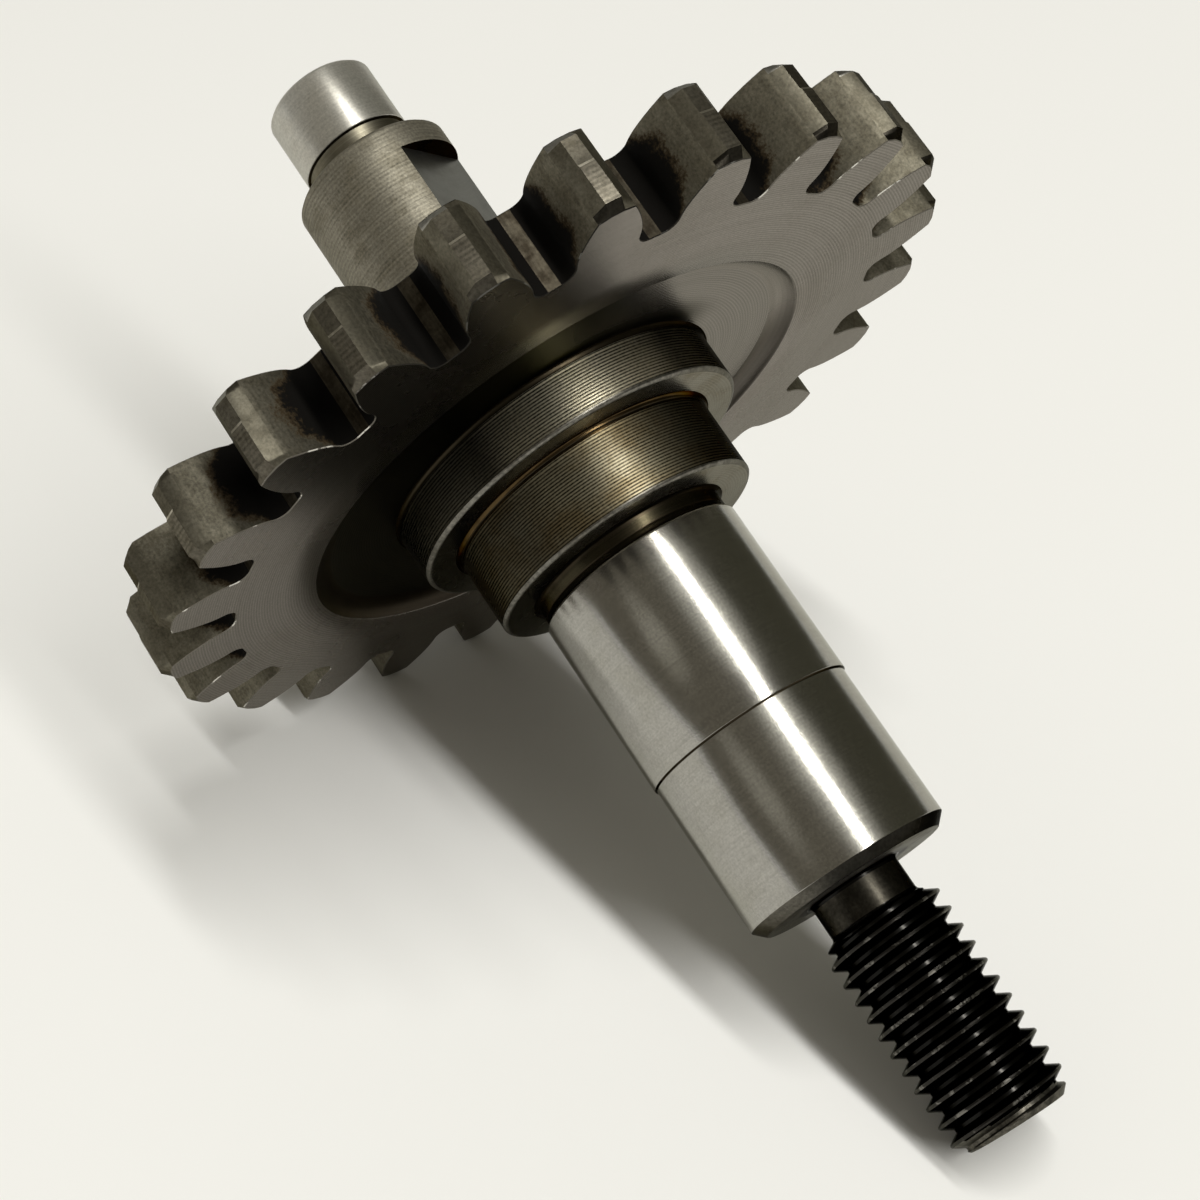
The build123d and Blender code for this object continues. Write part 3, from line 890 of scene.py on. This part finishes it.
def gear_mesh():
    """The whole gear, with the gap between two teeth lowest, as one closed mesh in the row's frame."""
    used = ["face", "back face", "recess", "wall", "edge", "chamfer", "root", "flank", "corner",
            "far corner", "tip", "first pass", "tip step"]
    values = {"Tooth Count": TEETH, "First Angle": -pi / 2 + pi / TEETH,
              "Weld Distance": WELD_DISTANCE}
    mesh = evaluated("Gear", gear_sector(), gear_tree(used), values)
    close_mesh(mesh)
    mesh.transform(shaft_frame())
    return mesh


# The thread


def thread_tree():
    """Geometry Nodes that bend a grid into a screw thread, tapered where it starts and ends."""
    labels = ["Start", "End", "Pitch", "Crest Radius", "Root Radius", "Crest Flat", "Start Radius",
              "End Radius", "End Depth", "Start Slope", "Rubbed Depth", "Worn Length"]
    tree, given, out = new_tree(
        "GeometryNodeTree", "Screw Thread",
        [("Source", "Geometry"), ("Rows", "Int"), ("Columns", "Int")]
        + [(label, "Float") for label in labels],
        [("Thread", "Geometry")])

    def reckon(operation, *values):
        """A math node in this tree."""
        return calc(tree, operation, *values)

    grid = tree.nodes.new("GeometryNodeMeshGrid")
    grid.inputs["Size X"].default_value = 1.0
    grid.inputs["Size Y"].default_value = 1.0
    feed(tree, grid.inputs["Vertices X"], given["Rows"])
    feed(tree, grid.inputs["Vertices Y"], given["Columns"])
    spot = tree.nodes.new("GeometryNodeInputPosition").outputs[0]
    split = tree.nodes.new("ShaderNodeSeparateXYZ")
    feed(tree, split.inputs[0], spot)
    turn = reckon("ADD", split.outputs["Y"], 0.5)
    share = reckon("ADD", split.outputs["X"], 0.5)
    # One row more at each end than a turn needs, so that the helix's seam closes there
    spare = 1 / THREAD_STEPS
    length = reckon("SUBTRACT", given["End"], given["Start"])
    length = reckon("MULTIPLY_ADD", given["Pitch"], 1 + 2 * spare, length)
    first = reckon("MULTIPLY_ADD", given["Pitch"], -1 - spare, given["Start"])
    place = reckon("MULTIPLY_ADD", share, length, first)
    place = reckon("MULTIPLY_ADD", turn, given["Pitch"], place)
    place = reckon("MINIMUM", reckon("MAXIMUM", place, given["Start"]), given["End"])
    # The wave counts turns from the start, with some whole ones added so that it is never negative
    along = reckon("SUBTRACT", place, given["Start"])
    wave = reckon("SUBTRACT", reckon("DIVIDE", along, given["Pitch"]), turn)
    wave = reckon("FRACT", reckon("ADD", wave, 8.0))
    off = reckon("MULTIPLY", reckon("ABSOLUTE", reckon("SUBTRACT", wave, 0.5)), given["Pitch"])
    down = reckon("SUBTRACT", off, reckon("MULTIPLY", given["Crest Flat"], 0.5))
    down = reckon("MAXIMUM", down, 0.0)
    radius = reckon("SUBTRACT", given["Crest Radius"], reckon("MULTIPLY", down, THREAD_FLANK_SLOPE))
    radius = reckon("MAXIMUM", radius, given["Root Radius"])
    from_start = reckon("MULTIPLY_ADD", along, given["Start Slope"], given["Start Radius"])
    radius = reckon("MINIMUM", radius, from_start)
    to_end = reckon("ADD", reckon("SUBTRACT", given["End"], place), given["End Radius"])
    radius = reckon("MINIMUM", radius, to_end)
    # The grid's first and last rows shrink to points on the axis and close the mesh inside the body,
    # the last one deeper than the centre hole
    at_first = reckon("LESS_THAN", share, ROW_MARGIN)
    at_last = reckon("GREATER_THAN", share, 1 - ROW_MARGIN)
    ends = reckon("ADD", at_first, at_last)
    radius = reckon("MULTIPLY", radius, reckon("SUBTRACT", 1.0, ends))
    place = reckon("SUBTRACT", place, reckon("MULTIPLY", given["End Depth"], at_last))
    angle = reckon("MULTIPLY", turn, 2 * pi)
    joined = tree.nodes.new("ShaderNodeCombineXYZ")
    feed(tree, joined.inputs["X"], place)
    feed(tree, joined.inputs["Y"], reckon("MULTIPLY", radius, reckon("COSINE", angle)))
    feed(tree, joined.inputs["Z"], reckon("MULTIPLY", radius, reckon("SINE", angle)))
    bend = tree.nodes.new("GeometryNodeSetPosition")
    feed(tree, bend.inputs["Geometry"], grid.outputs["Mesh"])
    feed(tree, bend.inputs["Position"], joined.outputs[0])
    weld = tree.nodes.new("GeometryNodeMergeByDistance")
    weld.inputs["Distance"].default_value = WELD_DISTANCE
    feed(tree, weld.inputs["Geometry"], bend.outputs[0])
    shape = painted(tree, weld.outputs[0], "thread")
    # The crests are rubbed bright, and the thread's end is worn
    bent = tree.nodes.new("ShaderNodeSeparateXYZ")
    feed(tree, bent.inputs[0], spot)
    squares = [reckon("POWER", bent.outputs[axis], 2.0) for axis in ("Y", "Z")]
    from_axis = reckon("SQRT", reckon("ADD", *squares))
    rubbed = reckon("SUBTRACT", given["Crest Radius"], given["Rubbed Depth"])
    shape = painted(tree, shape, "crest", reckon("GREATER_THAN", from_axis, rubbed))
    worn = reckon("SUBTRACT", given["End"], given["Worn Length"])
    shape = painted(tree, shape, "thread end", reckon("GREATER_THAN", bent.outputs["X"], worn))
    feed(tree, out["Thread"], shape)
    return tree


def thread_mesh():
    """The screw thread as one closed mesh in the row's frame, over the body's thread core."""
    turns = (THREAD_END - THREAD_START + THREAD_PITCH) / THREAD_PITCH
    # With a spare step at each end
    steps = round(turns * THREAD_STEPS) + 2
    values = {
        "Rows": steps + 1, "Columns": THREAD_COLUMNS + 1,
        "Start": THREAD_START * MM, "End": THREAD_END * MM, "Pitch": THREAD_PITCH * MM,
        "Crest Radius": THREAD_RADIUS * MM, "Root Radius": THREAD_ROOT * MM,
        "Crest Flat": THREAD_FLAT * MM, "Start Radius": 3.74 * MM, "End Radius": 3.99 * MM,
        "End Depth": 3.4 * MM, "Start Slope": 1.8, "Rubbed Depth": 0.06 * MM,
        "Worn Length": 0.95 * MM,
    }
    mesh = evaluated("Thread", bpy.data.meshes.new("Thread source"), thread_tree(), values)
    close_mesh(mesh)
    mesh.transform(shaft_frame())
    return mesh


body = piece("turned_body", body_mesh())
piece("spur_gear", gear_mesh())
piece("screw_thread", thread_mesh())
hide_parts("pump_shaft")


# Floor, light and camera


def pale_floor():
    """A plain pale floor, which the camera sees pass into the backdrop far from the object."""
    bpy.ops.mesh.primitive_plane_add(size=FLOOR_SIZE, location=(0, 0, 0))
    ground = bpy.context.object
    ground.name = "floor"
    material = bpy.data.materials.new("Pale floor")
    material.use_nodes = True
    tree = material.node_tree
    shader = tree.nodes["Principled BSDF"]
    distance = add(tree, "ShaderNodeVectorMath", operation="LENGTH")
    feed(tree, distance.inputs[0], add(tree, "ShaderNodeTexCoord").outputs["Object"])
    far = calc(tree, "MULTIPLY", spread(tree, distance.outputs["Value"], *FLOOR_FADE),
               add(tree, "ShaderNodeLightPath").outputs["Is Camera Ray"])
    feed(tree, shader.inputs["Base Color"], mix_colour(tree, far, FLOOR_COLOUR, BLACK))
    feed(tree, shader.inputs["Emission Color"], mix_colour(tree, far, BLACK, BACKDROP))
    shader.inputs["Emission Strength"].default_value = 1.0
    shader.inputs["Roughness"].default_value = 0.9
    shader.inputs["Specular IOR Level"].default_value = 0.1
    ground.data.materials.append(material)


def softbox(name, place, aim, size, power, colour):
    """A soft area light, placed in metres and turned to face a point."""
    light = bpy.data.lights.new(name, "AREA")
    light.shape = "RECTANGLE"
    light.size, light.size_y = size
    light.energy = power
    light.color = colour
    obj = bpy.data.objects.new(name, light)
    bpy.context.scene.collection.objects.link(obj)
    obj.location = place
    obj.rotation_euler = (Vector(aim) - Vector(place)).to_track_quat("-Z", "Y").to_euler()


def direction(azimuth, elevation):
    """A direction in the row's frame, given in degrees."""
    a, e = radians(azimuth), radians(elevation)
    return (cos(e) * cos(a), cos(e) * sin(a), sin(e))


def world():
    """A dim workshop that the metal reflects, and a plain pale backdrop that the camera sees.

    The room is darker to one side, lighter to the other, overhead and behind the gear, and pale near
    the horizon.
    """
    made = bpy.data.worlds.new("Studio")
    bpy.context.scene.world = made
    made.use_nodes = True
    tree = made.node_tree
    back = tree.nodes["Background"]
    facing = add(tree, "ShaderNodeTexCoord").outputs["Generated"]
    split = add(tree, "ShaderNodeSeparateXYZ")
    feed(tree, split.inputs[0], facing)
    side = spread(tree, split.outputs["Y"], 0.45, -0.55)
    window = vector_calc(tree, "DOT_PRODUCT", facing, direction(-87, 33))
    above = vector_calc(tree, "DOT_PRODUCT", facing, (0.245, 0.0, 0.97))
    room = mix_colour(tree, side, (0.085, 0.082, 0.058), (0.185, 0.17, 0.135))
    room = mix_colour(tree, spread(tree, window, 0.965, 0.998), room, (0.46, 0.44, 0.38))
    room = mix_colour(tree, spread(tree, above, 0.88, 0.99), room, (0.55, 0.54, 0.48))
    behind = spread(tree, split.outputs["X"], -0.40, -0.62)
    room = mix_colour(tree, behind, room, (0.36, 0.35, 0.32))
    horizon = spread(tree, split.outputs["Z"], 0.06, 0.02)
    seen = add(tree, "ShaderNodeLightPath").outputs["Is Camera Ray"]
    pale = calc(tree, "MAXIMUM", horizon, seen)
    feed(tree, back.inputs["Color"], mix_colour(tree, pale, room, BACKDROP))
    back.inputs["Strength"].default_value = 1.0


def camera():
    """The photograph's camera, as its edges and rims place it over the shaft."""
    data = bpy.data.cameras.new("Camera")
    obj = bpy.data.objects.new("Camera", data)
    bpy.context.scene.collection.objects.link(obj)
    right = Vector((0.597228997605746, 0.8017986426519282, 0.020891650493951724))
    up = Vector((-0.5359354789364074, 0.37954807079380504, 0.7541328956980358))
    back = right.cross(up)
    turned = Matrix((right, up, back)).transposed()
    place = Vector((96.89993, -93.31886, 127.35825)) * MM
    obj.matrix_world = Matrix.Translation(place) @ turned.to_4x4()
    data.sensor_width = 36.0
    data.lens = 65.291
    data.shift_x = 0.12499
    data.shift_y = 0.09559
    data.clip_start = 0.01
    bpy.context.scene.camera = obj


pale_floor()
world()
camera()
softbox("Ceiling strip", place=(0.99, -0.04, 2.024), aim=(0.0, 0.0, 0.03), size=(0.194, 3.3),
        power=58.0, colour=(1.0, 0.99, 0.95))
bpy.context.scene.view_settings.view_transform = "Standard"
